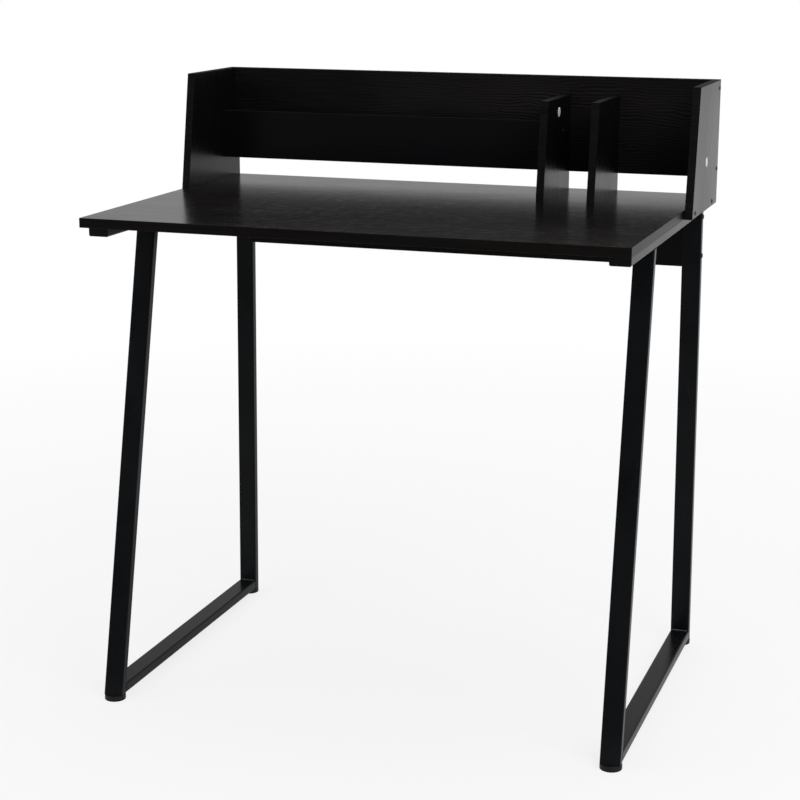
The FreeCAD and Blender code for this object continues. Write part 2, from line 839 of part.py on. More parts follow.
document.recompute()
for item in document.Objects:
    if "Invalid" in item.State or "Error" in item.State:
        raise RuntimeError(f"{item.Name} did not build: {item.State}")
os.makedirs("parts", exist_ok=True)
for label, item in nodes.items():
    shape = item.Shape
    if shape.isNull() or not shape.isValid() or not shape.Solids:
        raise RuntimeError(f"{label} has no sound solid")
for label, item in nodes.items():
    item.Shape.exportStep(f"parts/{label}.step")
    print(label, len(item.Shape.Solids), "solids", round(item.Shape.Volume / 1000, 2), "cm3")
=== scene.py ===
"""Computer desk with a low hutch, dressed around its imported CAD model."""

import math

import bmesh
import bpy
from mathutils import Matrix, Vector


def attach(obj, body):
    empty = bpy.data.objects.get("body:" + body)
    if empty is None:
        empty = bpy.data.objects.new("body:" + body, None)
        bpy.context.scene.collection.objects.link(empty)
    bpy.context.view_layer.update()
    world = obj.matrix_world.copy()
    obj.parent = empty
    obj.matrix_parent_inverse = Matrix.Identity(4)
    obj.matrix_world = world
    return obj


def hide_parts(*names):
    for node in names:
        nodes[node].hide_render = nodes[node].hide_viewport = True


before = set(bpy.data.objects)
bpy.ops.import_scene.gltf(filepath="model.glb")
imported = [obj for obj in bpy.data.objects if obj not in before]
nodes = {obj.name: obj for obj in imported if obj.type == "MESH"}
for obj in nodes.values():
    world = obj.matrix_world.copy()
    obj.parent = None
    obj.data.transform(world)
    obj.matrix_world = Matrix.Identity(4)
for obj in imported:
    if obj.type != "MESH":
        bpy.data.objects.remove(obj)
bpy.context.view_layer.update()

# Side frame tubes
# Flat steel tube, 30 by 15 mm, with rounded corners and a thin wall. Each frame is a top rail, a leaning
# front leg, an upright rear leg and a bottom rail, welded together and powder coated satin black.

MM = 0.001
SIDES = {"left": -1, "right": 1}
TUBE_WIDTH = 30 * MM
TUBE_DEPTH = 15 * MM
TUBE_WALL = 1.2 * MM
TUBE_CORNER = 2.5 * MM
CORNER_STEPS = 6
MERGE_GAP = 0.002 * MM
COAT_DARK = (0.0042, 0.0046, 0.0053)
COAT_LIGHT = (0.0082, 0.0089, 0.0099)
COAT_GLOSS = 0.085


def new_finish(name):
    """A material, its node tree, its shader and its Object coordinates."""
    finish = bpy.data.materials.new(name)
    finish.use_nodes = True
    tree = finish.node_tree
    place = tree.nodes.new("ShaderNodeTexCoord").outputs["Object"]
    return finish, tree, tree.nodes["Principled BSDF"], place


def laid(tree, place, scale=(1, 1, 1), turn=(0, 0, 0), shift=(0, 0, 0)):
    """Coordinates scaled, then turned, then shifted."""
    mapping = tree.nodes.new("ShaderNodeMapping")
    mapping.inputs["Location"].default_value = shift
    mapping.inputs["Rotation"].default_value = turn
    mapping.inputs["Scale"].default_value = scale
    tree.links.new(place, mapping.inputs["Vector"])
    return mapping.outputs["Vector"]


def noise(tree, place, scale, detail, roughness=0.5, distortion=0.0):
    """Soft noise, from 0 to 1 about a half."""
    texture = tree.nodes.new("ShaderNodeTexNoise")
    texture.inputs["Scale"].default_value = scale
    texture.inputs["Detail"].default_value = detail
    texture.inputs["Roughness"].default_value = roughness
    texture.inputs["Distortion"].default_value = distortion
    tree.links.new(place, texture.inputs["Vector"])
    return texture.outputs["Fac"]


def between(tree, value, low, high, start, end):
    """A value's run from low to high, carried over to the run from start to end."""
    span = tree.nodes.new("ShaderNodeMapRange")
    tree.links.new(value, span.inputs["Value"])
    for socket, number in zip(("From Min", "From Max", "To Min", "To Max"), (low, high, start, end)):
        span.inputs[socket].default_value = number
    return span.outputs["Result"]


def worked(tree, operation, first, second):
    """Two values put together, where the second may be a number."""
    sum_node = tree.nodes.new("ShaderNodeMath")
    sum_node.operation = operation
    tree.links.new(first, sum_node.inputs[0])
    if isinstance(second, (int, float)):
        sum_node.inputs[1].default_value = second
    else:
        tree.links.new(second, sum_node.inputs[1])
    return sum_node.outputs["Value"]


def weighed(tree, parts):
    """The sum of several values, each times its weight."""
    total = None
    for value, weight in parts:
        share = worked(tree, "MULTIPLY", value, weight)
        total = share if total is None else worked(tree, "ADD", total, share)
    return total


def toned(tree, value, stops):
    """A colour picked along a row of (place, colour) stops."""
    ramp = tree.nodes.new("ShaderNodeValToRGB")
    points = ramp.color_ramp.elements
    while len(points) < len(stops):
        points.new(0.5)
    for point, (place, colour) in zip(points, stops):
        point.position = place
        point.color = (*colour, 1)
    tree.links.new(value, ramp.inputs["Fac"])
    return ramp.outputs["Color"]


def raised(tree, shader, height, depth, strength):
    """Bump from a height, of a depth in metres."""
    bump = tree.nodes.new("ShaderNodeBump")
    bump.inputs["Strength"].default_value = strength
    bump.inputs["Distance"].default_value = depth
    tree.links.new(height, bump.inputs["Height"])
    tree.links.new(bump.outputs["Normal"], shader.inputs["Normal"])


def coated_steel(name, gloss, smooth, dull):
    """Satin black powder coat: a fine orange peel, slow changes of sheen and a few dull rubs."""
    finish, tree, shader, place = new_finish(name)
    cloud = noise(tree, place, 14, 3)
    peel = noise(tree, place, 620, 2)
    grit = noise(tree, place, 2400, 1)
    rub = between(tree, noise(tree, laid(tree, place, (60, 60, 11)), 1, 4, 0.65), 0.6, 0.74, 0, 1)
    shade = weighed(tree, [(cloud, 0.6), (grit, 0.3), (rub, 0.25)])
    tree.links.new(toned(tree, shade, [(0.3, COAT_DARK), (0.7, COAT_LIGHT)]), shader.inputs["Base Color"])
    sheen = weighed(tree, [(cloud, 0.5), (peel, 0.3), (rub, 0.35)])
    tree.links.new(between(tree, sheen, 0.25, 0.8, smooth, dull), shader.inputs["Roughness"])
    shader.inputs["Specular IOR Level"].default_value = gloss
    raised(tree, shader, weighed(tree, [(peel, 0.8), (grit, 0.2)]), 0.12 * MM, 0.16)
    return finish


powder_coat = coated_steel("satin_black_powder_coat", COAT_GLOSS, smooth=0.2, dull=0.33)


def make_piece(name, shape, finish, body, stands_for, sharp=35):
    """Makes a finished shape a smooth piece that stands for a CAD node and rides on its body."""
    bmesh.ops.remove_doubles(shape, verts=shape.verts[:], dist=MERGE_GAP)
    bmesh.ops.recalc_face_normals(shape, faces=shape.faces[:])
    for face in shape.faces:
        face.smooth = True
    mesh = bpy.data.meshes.new(name)
    shape.to_mesh(mesh)
    shape.free()
    mesh.set_sharp_from_angle(angle=math.radians(sharp))
    mesh.materials.append(finish)
    piece = bpy.data.objects.new(name, mesh)
    bpy.context.scene.collection.objects.link(piece)
    even = piece.modifiers.new("even_shading", "WEIGHTED_NORMAL")
    even.keep_sharp = True
    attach(piece, body)
    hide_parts(stands_for)
    return piece


def tube_outline(corners):
    """The tube's outline as one face: a rectangle with rounded corners."""
    shape = bmesh.new()
    shape.faces.new([shape.verts.new(corner) for corner in corners])
    bmesh.ops.bevel(
        shape,
        geom=shape.verts[:],
        offset=TUBE_CORNER,
        offset_type="OFFSET",
        segments=CORNER_STEPS,
        profile=0.5,
        affect="VERTICES",
        material=-1,
    )
    shape.normal_update()
    return shape


def tube_end(corners):
    """A tube's cut end: a rounded rectangle of steel around the bore."""
    shape = tube_outline(corners)
    bore = shape.faces[:]
    bmesh.ops.inset_region(shape, faces=bore, thickness=TUBE_WALL, use_boundary=True, use_even_offset=True)
    bmesh.ops.delete(shape, geom=bore, context="FACES_ONLY")
    return shape


def drawn_out(shape, run):
    """Draws a cut end out along a run, and gives the points of the far end."""
    grown = bmesh.ops.extrude_face_region(shape, geom=shape.faces[:])["geom"]
    far = [item for item in grown if isinstance(item, bmesh.types.BMVert)]
    bmesh.ops.translate(shape, verts=far, vec=run)
    return far


FOOT_HEIGHT = 8 * MM
BOARD_LOW = 729 * MM
RAIL_LOW = BOARD_LOW - TUBE_DEPTH
REAR_LEG_FRONT = 257.5 * MM
FRAME_SPLAY = 5.5 * MM
RAIL_MIDDLE = 380.7 * MM
FOOT_MIDDLE = RAIL_MIDDLE + FRAME_SPLAY
RAIL_FRONT = -265.5 * MM
FRONT_LEG_FOOT = -263.1 * MM
FRONT_LEG_TOP = -113.8 * MM
FRONT_LEAN = (FRONT_LEG_TOP - FRONT_LEG_FOOT) / (RAIL_LOW - FOOT_HEIGHT)
FRONT_LEG_DEPTH = TUBE_DEPTH * math.sqrt(1 + FRONT_LEAN**2)
SPLAY_SLOPE = FRAME_SPLAY / (BOARD_LOW - FOOT_HEIGHT)


def leg_tube(name, side, front, depth, top, lean):
    """A leg: a level cut end at the foot, drawn up along its lean to another level cut."""
    low_x = side * FOOT_MIDDLE - TUBE_WIDTH / 2
    high_x = low_x + TUBE_WIDTH
    corners = [
        (low_x, front, FOOT_HEIGHT),
        (high_x, front, FOOT_HEIGHT),
        (high_x, front + depth, FOOT_HEIGHT),
        (low_x, front + depth, FOOT_HEIGHT),
    ]
    shape = tube_end(corners)
    rise = top - FOOT_HEIGHT
    drawn_out(shape, (-side * SPLAY_SLOPE * rise, lean * rise, rise))
    make_piece(f"{name}_tube", shape, powder_coat, "desk", name)


def rail_tube(name, middle, front, low, lean):
    """A level rail: its front end follows the leg that it meets, and its rear end is square."""
    corners = [
        (middle - TUBE_WIDTH / 2, front, low),
        (middle + TUBE_WIDTH / 2, front, low),
        (middle + TUBE_WIDTH / 2, front, low + TUBE_DEPTH),
        (middle - TUBE_WIDTH / 2, front, low + TUBE_DEPTH),
    ]
    shape = tube_end(corners)
    far = drawn_out(shape, (0, REAR_LEG_FRONT - front, 0))
    for point in set(shape.verts) - set(far):
        point.co.y += lean * (point.co.z - low)
    make_piece(f"{name}_tube", shape, powder_coat, "desk", name)


for side_name, side in SIDES.items():
    leg_tube(f"{side_name}_front_leg", side, FRONT_LEG_FOOT, FRONT_LEG_DEPTH, RAIL_LOW, FRONT_LEAN)
    leg_tube(f"{side_name}_rear_leg", side, REAR_LEG_FRONT, TUBE_DEPTH, BOARD_LOW, 0)
    rail_tube(f"{side_name}_top_rail", side * RAIL_MIDDLE, RAIL_FRONT, RAIL_LOW, 0)
    low_front = FRONT_LEG_FOOT + FRONT_LEG_DEPTH
    rail_tube(f"{side_name}_bottom_rail", side * FOOT_MIDDLE, low_front, FOOT_HEIGHT, FRONT_LEAN)

# Weld beads
# Short runs of arc weld in the inner corners where the tubes meet. Each is a row of overlapping ripples
# left by the moving torch, under the same powder coat as the tubes.

BEAD_RADIUS = 2.5 * MM
BEAD_LENGTH = TUBE_WIDTH - TUBE_CORNER * 2
BEAD_RIPPLES = 12
RIPPLE_SIZES = (0.84, 1.0, 0.97, 0.9)
BEAD_END = 0.5
BEAD_SIDES = 20
BEAD_WANDER = 0.05
BEAD_WAVE = 0.37
BEAD_GLOSS = 0.75


def ring_parts(grown):
    """The points and the edges of the ring that an extrusion has just made."""
    points = [item for item in grown if isinstance(item, bmesh.types.BMVert)]
    held = set(points)
    lines = [item for item in grown if isinstance(item, bmesh.types.BMEdge)]
    edges = [line for line in lines if held.issuperset(line.verts)]
    return points, edges


def weld_bead(shape, middle):
    """One bead along X, built up ring by ring."""
    start = Vector(middle) - Vector((BEAD_LENGTH / 2, 0, 0))
    across = Matrix.Rotation(math.pi / 2, 4, "Y")
    made = bmesh.ops.create_circle(
        shape,
        cap_ends=True,
        segments=BEAD_SIDES,
        radius=BEAD_RADIUS * BEAD_END,
        matrix=Matrix.Translation(start) @ across,
    )
    first_ring = set(made["verts"])
    edges = [edge for edge in shape.edges if first_ring.issuperset(edge.verts)]
    steps = BEAD_RIPPLES * len(RIPPLE_SIZES)
    last = BEAD_END
    centre = start.copy()
    for step in range(steps):
        points, edges = ring_parts(bmesh.ops.extrude_edge_only(shape, edges=edges)["geom"])
        wanted = RIPPLE_SIZES[step % len(RIPPLE_SIZES)]
        wanted *= 1 - BEAD_WANDER * math.sin(step * BEAD_WAVE) ** 2
        if step == steps - 1:
            wanted = BEAD_END
        to_middle = Matrix.Translation(-centre)
        growth = wanted / last
        bmesh.ops.scale(shape, vec=(1, growth, growth), space=to_middle, verts=points)
        advance = Vector((BEAD_LENGTH / steps, 0, 0))
        bmesh.ops.translate(shape, vec=advance, verts=points)
        centre += advance
        last = wanted
    bmesh.ops.contextual_create(shape, geom=edges)


bead_coat = coated_steel("thick_powder_coat_on_welds", BEAD_GLOSS, smooth=0.14, dull=0.22)
for side_name, side in SIDES.items():
    beads = bmesh.new()
    low_corner = FOOT_HEIGHT + TUBE_DEPTH
    front_leg_back = FRONT_LEG_FOOT + FRONT_LEG_DEPTH + FRONT_LEAN * TUBE_DEPTH
    weld_bead(beads, (side * FOOT_MIDDLE, REAR_LEG_FRONT, low_corner))
    weld_bead(beads, (side * FOOT_MIDDLE, front_leg_back, low_corner))
    weld_bead(beads, (side * RAIL_MIDDLE, FRONT_LEG_TOP, RAIL_LOW))
    weld_bead(beads, (side * RAIL_MIDDLE, FRONT_LEG_TOP + FRONT_LEG_DEPTH, RAIL_LOW))
    weld_bead(beads, (side * RAIL_MIDDLE, REAR_LEG_FRONT, RAIL_LOW))
    bead_node = f"{side_name}_weld_beads"
    make_piece(f"{bead_node}_rippled", beads, bead_coat, "desk", bead_node, sharp=80)

# Tube plugs
# Moulded black plastic plugs, pushed into the open front ends of the top rails. A flange of the tube's
# own outline closes the end, and a stem holds in the bore.

PLUG_FLANGE = 2 * MM
PLUG_DEPTH = 12 * MM
PLUG_EDGE = 0.7 * MM
PLUG_EDGE_STEPS = 4
PLUG_GAP = 1.3 * MM
PLASTIC_DARK = (0.0028, 0.0027, 0.0027)
PLASTIC_LIGHT = (0.0052, 0.005, 0.005)
PLASTIC_GLOSS = 0.16


def moulded_plastic(name, dark, light, gloss):
    """Black moulded plastic with a spark-eroded texture and faint flow marks."""
    finish, tree, shader, place = new_finish(name)
    pits = noise(tree, place, 1500, 2, 0.6)
    flow = noise(tree, laid(tree, place, (40, 40, 150)), 1, 3)
    shade = weighed(tree, [(pits, 0.5), (flow, 0.5)])
    tree.links.new(toned(tree, shade, [(0.35, dark), (0.65, light)]), shader.inputs["Base Color"])
    tree.links.new(between(tree, shade, 0.35, 0.65, 0.38, 0.5), shader.inputs["Roughness"])
    shader.inputs["Specular IOR Level"].default_value = gloss
    raised(tree, shader, pits, 0.08 * MM, 0.25)
    return finish


black_plastic = moulded_plastic("moulded_black_plastic", PLASTIC_DARK, PLASTIC_LIGHT, PLASTIC_GLOSS)


def tube_plug(name, middle):
    """A plug in a front end: the stem, the flange, and the flange's soft outer edge."""
    half_width, half_depth = TUBE_WIDTH / 2, TUBE_DEPTH / 2
    outline = [(-1, -1), (1, -1), (1, 1), (-1, 1)]
    shape = tube_outline([(x * half_width, y * half_depth, 0) for x, y in outline])
    drawn_out(shape, (0, 0, PLUG_FLANGE))
    outer = [edge for edge in shape.edges if all(point.co.z > PLUG_FLANGE / 2 for point in edge.verts)]
    bmesh.ops.bevel(
        shape,
        geom=outer,
        offset=PLUG_EDGE,
        offset_type="OFFSET",
        segments=PLUG_EDGE_STEPS,
        profile=0.5,
        affect="EDGES",
        clamp_overlap=True,
        material=-1,
    )
    shape.normal_update()
    under = [face for face in shape.faces if all(abs(point.co.z) < MERGE_GAP for point in face.verts)]
    bmesh.ops.inset_region(shape, faces=under, thickness=PLUG_GAP, use_boundary=True, use_even_offset=True)
    grown = bmesh.ops.extrude_face_region(shape, geom=under)["geom"]
    stem = [item for item in grown if isinstance(item, bmesh.types.BMVert)]
    bmesh.ops.translate(shape, verts=stem, vec=(0, 0, -PLUG_DEPTH))
    stale = [face for face in under if face.is_valid]
    bmesh.ops.delete(shape, geom=stale, context="FACES_ONLY")
    facing = Matrix.Rotation(math.pi / 2, 4, "X")
    bmesh.ops.transform(shape, matrix=Matrix.Translation(middle) @ facing, verts=shape.verts[:])
    make_piece(f"{name}_moulded", shape, black_plastic, "desk", name)


for side_name, side in SIDES.items():
    rail_end = (side * RAIL_MIDDLE, RAIL_FRONT, RAIL_LOW + TUBE_DEPTH / 2)
    tube_plug(f"{side_name}_rail_plug", rail_end)

# Levelling feet
# A round moulded pad on a zinc-plated threaded stud, screwed into a plastic insert in the foot of each
# leg. Each foot is a body of its own, because it screws out to level the desk.

PAD_PROFILE = (
    (0, 0.7),
    (11.2, 0.7),
    (11.7, 0),
    (15.1, 0),
    (15.75, 0.25),
    (16, 0.85),
    (16, 2.3),
    (15.65, 2.6),
    (15.65, 2.9),
    (16, 3.2),
    (16, 6.5),
    (15.85, 7.15),
    (15.45, 7.65),
    (14.8, 7.95),
    (14.2, 8),
    (7.4, 8),
    (7, 7.7),
    (3.05, 7.7),
    (3.05, 3),
    (0, 3),
)
PAD_STEPS = 72
PAD_DARK = (0.0048, 0.0047, 0.005)
PAD_LIGHT = (0.0085, 0.0084, 0.009)
PAD_GLOSS = 0.26
STUD_RADIUS = 3
STUD_LOW = 3
STUD_TOP = 24
STUD_PITCH = 1
STUD_ROOT = 2.5
STUD_STEPS = 24
FOOT_ROWS = {"front": -254.43 * MM, "rear": 265 * MM}
ZINC_DARK = (0.42, 0.43, 0.45)
ZINC_LIGHT = (0.62, 0.63, 0.64)


def turned(profile, steps):
    """A shape turned about Z from a profile of (radius, height) in millimetres."""
    shape = bmesh.new()
    points = [shape.verts.new((radius * MM, 0, height * MM)) for radius, height in profile]
    edges = [shape.edges.new(pair) for pair in zip(points, points[1:])]
    bmesh.ops.spin(
        shape,
        geom=points + edges,
        cent=(0, 0, 0),
        axis=(0, 0, 1),
        angle=math.tau,
        steps=steps,
        use_merge=True,
        use_duplicate=False,
    )
    bmesh.ops.remove_doubles(shape, verts=shape.verts[:], dist=MERGE_GAP)
    return shape


def plated_steel(name):
    """Bright zinc plate: patchy passivation over a metal with fine drawing marks."""
    finish, tree, shader, place = new_finish(name)
    patches = noise(tree, place, 220, 4, 0.6)
    lines = noise(tree, laid(tree, place, (3000, 3000, 120)), 1, 2)
    plating = toned(tree, patches, [(0.35, ZINC_DARK), (0.65, ZINC_LIGHT)])
    tree.links.new(plating, shader.inputs["Base Color"])
    tree.links.new(between(tree, patches, 0.3, 0.7, 0.24, 0.42), shader.inputs["Roughness"])
    shader.inputs["Metallic"].default_value = 1
    raised(tree, shader, lines, 0.03 * MM, 0.2)
    return finish


def dress(finish, *names):
    """Gives CAD nodes that stay in view a finish of their own."""
    for name in names:
        node = nodes[name]
        if not node.material_slots:
            node.data.materials.append(finish)
        for slot in node.material_slots:
            slot.material = finish


pad_plastic = moulded_plastic("foot_pad_plastic", PAD_DARK, PAD_LIGHT, PAD_GLOSS)
zinc_plate = plated_steel("zinc_plate")
for side_name, side in SIDES.items():
    for row, foot_y in FOOT_ROWS.items():
        foot = f"{side_name}_{row}_foot"
        spot = Matrix.Translation((side * FOOT_MIDDLE, foot_y, 0))
        pad = turned(PAD_PROFILE, PAD_STEPS)
        bmesh.ops.transform(pad, matrix=spot, verts=pad.verts[:])
        make_piece(f"{foot}_pad_moulded", pad, pad_plastic, foot, f"{foot}_pad")
        thread = [(0, STUD_LOW), (STUD_ROOT, STUD_LOW)]
        for turn in range(int((STUD_TOP - STUD_LOW) / STUD_PITCH)):
            thread.append((STUD_RADIUS, STUD_LOW + (turn + 0.5) * STUD_PITCH))
            thread.append((STUD_ROOT, STUD_LOW + (turn + 1) * STUD_PITCH))
        thread.append((0, STUD_TOP))
        stud = turned(thread, STUD_STEPS)
        bmesh.ops.transform(stud, matrix=spot, verts=stud.verts[:])
        stud_node = f"{foot}_stud"
        make_piece(f"{stud_node}_threaded", stud, zinc_plate, foot, stud_node, sharp=80)
        dress(black_plastic, f"{foot}_insert")

# Desk top
# A particle board faced with a black woodgrain foil, satin smooth, with its grain along the desk. A thin
# plastic band, glued on and rounded over, covers all four edges.

TOP_DARK = (0.002, 0.0016, 0.0015)
TOP_LIGHT = (0.009, 0.0071, 0.0067)
TOP_GLOSS = 0.165
RING_PITCH = 4.6 * MM
BAND_DARK = (0.0026, 0.0021, 0.0018)
BAND_LIGHT = (0.0058, 0.0046, 0.0041)
BAND_WORN = (0.0105, 0.0095, 0.009)
BAND_GLOSS = 0.108


def woodgrain(name, dark, light, gloss, sheen, figure, relief, upright=False, shift=(0, 0, 0)):
    """A printed and embossed woodgrain, along X, or up Z on a board that stands on its end."""
    finish, tree, shader, place = new_finish(name)
    turn = (0, math.pi / 2, 0) if upright else (0, 0, 0)
    board = laid(tree, place, turn=turn, shift=shift)
    across = tree.nodes.new("ShaderNodeVectorMath")
    across.operation = "DOT_PRODUCT"
    tree.links.new(board, across.inputs[0])
    across.inputs[1].default_value = (0, 1, 1)
    sway = noise(tree, laid(tree, board, (20, 38, 38)), 1, 2, 0.5)
    drift = noise(tree, laid(tree, board, (3.2, 9, 9)), 1, 1)
    growth = weighed(tree, [(across.outputs["Value"], math.tau / RING_PITCH), (sway, 17), (drift, 60)])
    rings = between(tree, worked(tree, "SINE", growth, 0), -0.85, 0.85, 0, 1)
    shown = between(tree, noise(tree, laid(tree, board, (2.6, 6, 6)), 1, 1), 0.36, 0.62, 0.1, 1)
    figured = worked(tree, "MULTIPLY", rings, shown)
    streaks = noise(tree, laid(tree, board, (13, 330, 330)), 1, 4, 0.6, 0.2)
    fibres = noise(tree, laid(tree, board, (30, 1300, 1300)), 1, 2, 0.6)
    pores = between(tree, fibres, 0.6, 0.7, 0, 1)
    cloud = noise(tree, laid(tree, board, (3, 9, 9)), 1, 2)
    shade = weighed(tree, [(streaks, 0.45), (figured, figure), (cloud, 0.25), (pores, -0.1)])
    low = 0.2 + figure * 0.05
    high = 0.55 + figure * 0.75
    tree.links.new(toned(tree, shade, [(low, dark), (high, light)]), shader.inputs["Base Color"])
    dull = weighed(tree, [(streaks, 0.5), (cloud, 0.3), (pores, 0.3)])
    rough = between(tree, dull, 0.25, 0.75, sheen - 0.05, sheen + 0.1)
    tree.links.new(rough, shader.inputs["Roughness"])
    shader.inputs["Specular IOR Level"].default_value = gloss
    height = weighed(tree, [(streaks, 0.5), (figured, figure * 0.4), (pores, -0.5)])
    raised(tree, shader, height, 0.12 * MM, relief)
    return finish


def edge_band(name, dark, light, gloss, smooth, dull):
    """Thin plastic band: a faint print of the grain, and edges rubbed a little lighter."""
    finish, tree, shader, place = new_finish(name)
    print_lines = noise(tree, laid(tree, place, (9, 9, 420)), 1, 3, 0.6)
    fine = noise(tree, place, 900, 2)
    shade = weighed(tree, [(print_lines, 0.6), (fine, 0.4)])
    plain = toned(tree, shade, [(0.35, dark), (0.68, light)])
    facing = tree.nodes.new("ShaderNodeSeparateXYZ")
    coordinates = tree.nodes.new("ShaderNodeTexCoord")
    tree.links.new(coordinates.outputs["Normal"], facing.inputs["Vector"])
    flattest = None
    for axis in "XYZ":
        share = worked(tree, "ABSOLUTE", facing.outputs[axis], 0)
        flattest = share if flattest is None else worked(tree, "MAXIMUM", flattest, share)
    corner = between(tree, flattest, 0.94, 0.8, 0, 1)
    patchy = between(tree, noise(tree, place, 60, 4, 0.65), 0.42, 0.68, 0.1, 1)
    worn = worked(tree, "MULTIPLY", corner, patchy)
    mix = tree.nodes.new("ShaderNodeMix")
    mix.data_type = "RGBA"
    tree.links.new(worn, mix.inputs["Factor"])
    tree.links.new(plain, mix.inputs["A"])
    mix.inputs["B"].default_value = (*BAND_WORN, 1)
    tree.links.new(mix.outputs["Result"], shader.inputs["Base Color"])
    tree.links.new(between(tree, shade, 0.3, 0.7, smooth, dull), shader.inputs["Roughness"])
    shader.inputs["Specular IOR Level"].default_value = gloss
    raised(tree, shader, fine, 0.05 * MM, 0.15)
    return finish


top_band = edge_band(
    "desk_top_edge_band_plastic", BAND_DARK, BAND_LIGHT, BAND_GLOSS, smooth=0.31, dull=0.41
)
top_grain = woodgrain(
    "desk_top_woodgrain_foil", TOP_DARK, TOP_LIGHT, TOP_GLOSS, sheen=0.21, figure=0.16, relief=0.2
)
dress(top_grain, "desk_top")
dress(top_band, "desk_top_edge_band")

# Rail screws
# Three black pan-head screws through each top rail, up into the underside of the desk top. Only their
# heads and hexagon sockets show, below the rails.

SCREW_STEPS = 24
STEEL_DARK = (0.0045, 0.0045, 0.0048)
STEEL_LIGHT = (0.0105, 0.0105, 0.011)
STEEL_GLOSS = 0.45
RAIL_SCREW = {"head": 4.5, "height": 2.5, "shank": 2.5, "length": 24, "socket": 2.2, "depth": 1.6}
RAIL_SCREW_ROWS = (-227.5, -7.5, 212.5)


def blackened_steel(name):
    """Blackened screw steel: an uneven oxide with a dull sheen and fine turning marks."""
    finish, tree, shader, place = new_finish(name)
    oxide = noise(tree, place, 500, 4, 0.6)
    blacking = toned(tree, oxide, [(0.35, STEEL_DARK), (0.68, STEEL_LIGHT)])
    tree.links.new(blacking, shader.inputs["Base Color"])
    tree.links.new(between(tree, oxide, 0.3, 0.7, 0.26, 0.42), shader.inputs["Roughness"])
    shader.inputs["Specular IOR Level"].default_value = STEEL_GLOSS
    raised(tree, shader, noise(tree, place, 2800, 2), 0.03 * MM, 0.2)
    return finish


black_steel = blackened_steel("blackened_screw_steel")


def hexagon_reach(point, across):
    """How far a hexagon's edge lies from its middle, in a point's direction."""
    sector = math.tau / 6
    angle = (math.atan2(point.co.y, point.co.x) + sector / 2) % sector - sector / 2
    return across / math.cos(angle)


def socket_screw(kind):
    """A screw that points down from its seat: a turned body, then the hexagon socket in its head."""
    head, height, shank = kind["head"], kind["height"], kind["shank"]
    length, socket = kind["length"], kind["socket"]
    root = shank * 0.78
    profile = [(0, -length), (root * 0.6, -length + shank * 0.7), (root, -length + shank * 1.6)]
    pitch = shank * 0.8
    turns = int((length * 0.62) / pitch)
    low = -length + shank * 1.6
    for turn in range(turns):
        profile.append((shank, low + (turn + 0.5) * pitch))
        profile.append((root, low + (turn + 1) * pitch))
    profile += [
        (shank, low + (turns + 0.6) * pitch),
        (shank, 0),
        (head * 0.97, 0),
        (head, height * 0.08),
        (head * 0.99, height * 0.22),
        (head * 0.94, height * 0.42),
        (head * 0.86, height * 0.61),
        (head * 0.76, height * 0.79),
        (head * 0.66, height * 0.93),
        (socket * 1.16, height),
    ]
    shape = turned(profile, SCREW_STEPS)
    rim = [edge for edge in shape.edges if edge.is_boundary]
    points, edges = ring_parts(bmesh.ops.extrude_edge_only(shape, edges=rim)["geom"])
    for point in points:
        reach = hexagon_reach(point, socket * MM) / math.hypot(point.co.x, point.co.y)
        point.co.x *= reach
        point.co.y *= reach
    points, edges = ring_parts(bmesh.ops.extrude_edge_only(shape, edges=edges)["geom"])
    bmesh.ops.translate(shape, verts=points, vec=(0, 0, -kind["depth"] * MM))
    bmesh.ops.contextual_create(shape, geom=edges)
    mesh = bpy.data.meshes.new("screw_blank")
    shape.to_mesh(mesh)
    shape.free()
    return mesh


def fasten(node, kind, places):
    """Sets copies of one screw on their seats: (x, y, z) in millimetres, and the way each head faces."""
    blank = socket_screw(kind)
    group = bmesh.new()
    for seat, outward in places:
        before = set(group.verts)
        group.from_mesh(blank)
        fresh = [point for point in group.verts if point not in before]
        turn = Vector((0, 0, 1)).rotation_difference(Vector(outward)).to_matrix().to_4x4()
        spot = Matrix.Translation(Vector(seat) * MM) @ turn
        bmesh.ops.transform(group, matrix=spot, verts=fresh)
    bpy.data.meshes.remove(blank)
    make_piece(f"{node}_turned", group, black_steel, "desk", node, sharp=40)


rail_places = []
for side in SIDES.values():
    for screw_y in RAIL_SCREW_ROWS:
        rail_places.append(((side * RAIL_MIDDLE / MM, screw_y, RAIL_LOW / MM), (0, 0, -1)))
fasten("rail_screws", RAIL_SCREW, rail_places)

# Rear apron
# A low woodgrain board between the rear legs that keeps the frames square. Two bolts through each leg run
# into threaded zinc sleeves in its ends, and a band covers its lower edge.

APRON_DARK = (0.0019, 0.0017, 0.0017)
APRON_LIGHT = (0.0064, 0.0055, 0.0054)
APRON_GLOSS = 0.12
APRON_BOLT = {"head": 4.5, "height": 1.6, "shank": 3, "length": 50, "socket": 2.3, "depth": 1.2}
APRON_BOLT_ROWS = (646.8, 708.3)
APRON_BOLT_MIDDLE = 265
LEG_OUTER = 395.7

apron_grain = woodgrain(
    "apron_woodgrain_foil",
    APRON_DARK,
    APRON_LIGHT,
    APRON_GLOSS,
    sheen=0.3,
    figure=0.2,
    relief=0.15,
    shift=(0.7, 0.2, 0.4),
)
dress(apron_grain, "apron")
dress(top_band, "apron_edge_band")
dress(zinc_plate, "apron_sleeves")
bolt_places = []
for side in SIDES.values():
    for bolt_z in APRON_BOLT_ROWS:
        outer = LEG_OUTER + SPLAY_SLOPE * (BOARD_LOW / MM - bolt_z)
        bolt_places.append(((side * outer, APRON_BOLT_MIDDLE, bolt_z), (side, 0, 0)))
fasten("apron_bolts", APRON_BOLT, bolt_places)

# Hutch end panels
# Woodgrain boards with sloping fronts, grain upright, screwed to the outside of the desk top's ends.
# Their edges are banded, and dark screw heads stand a little proud of their outer faces.

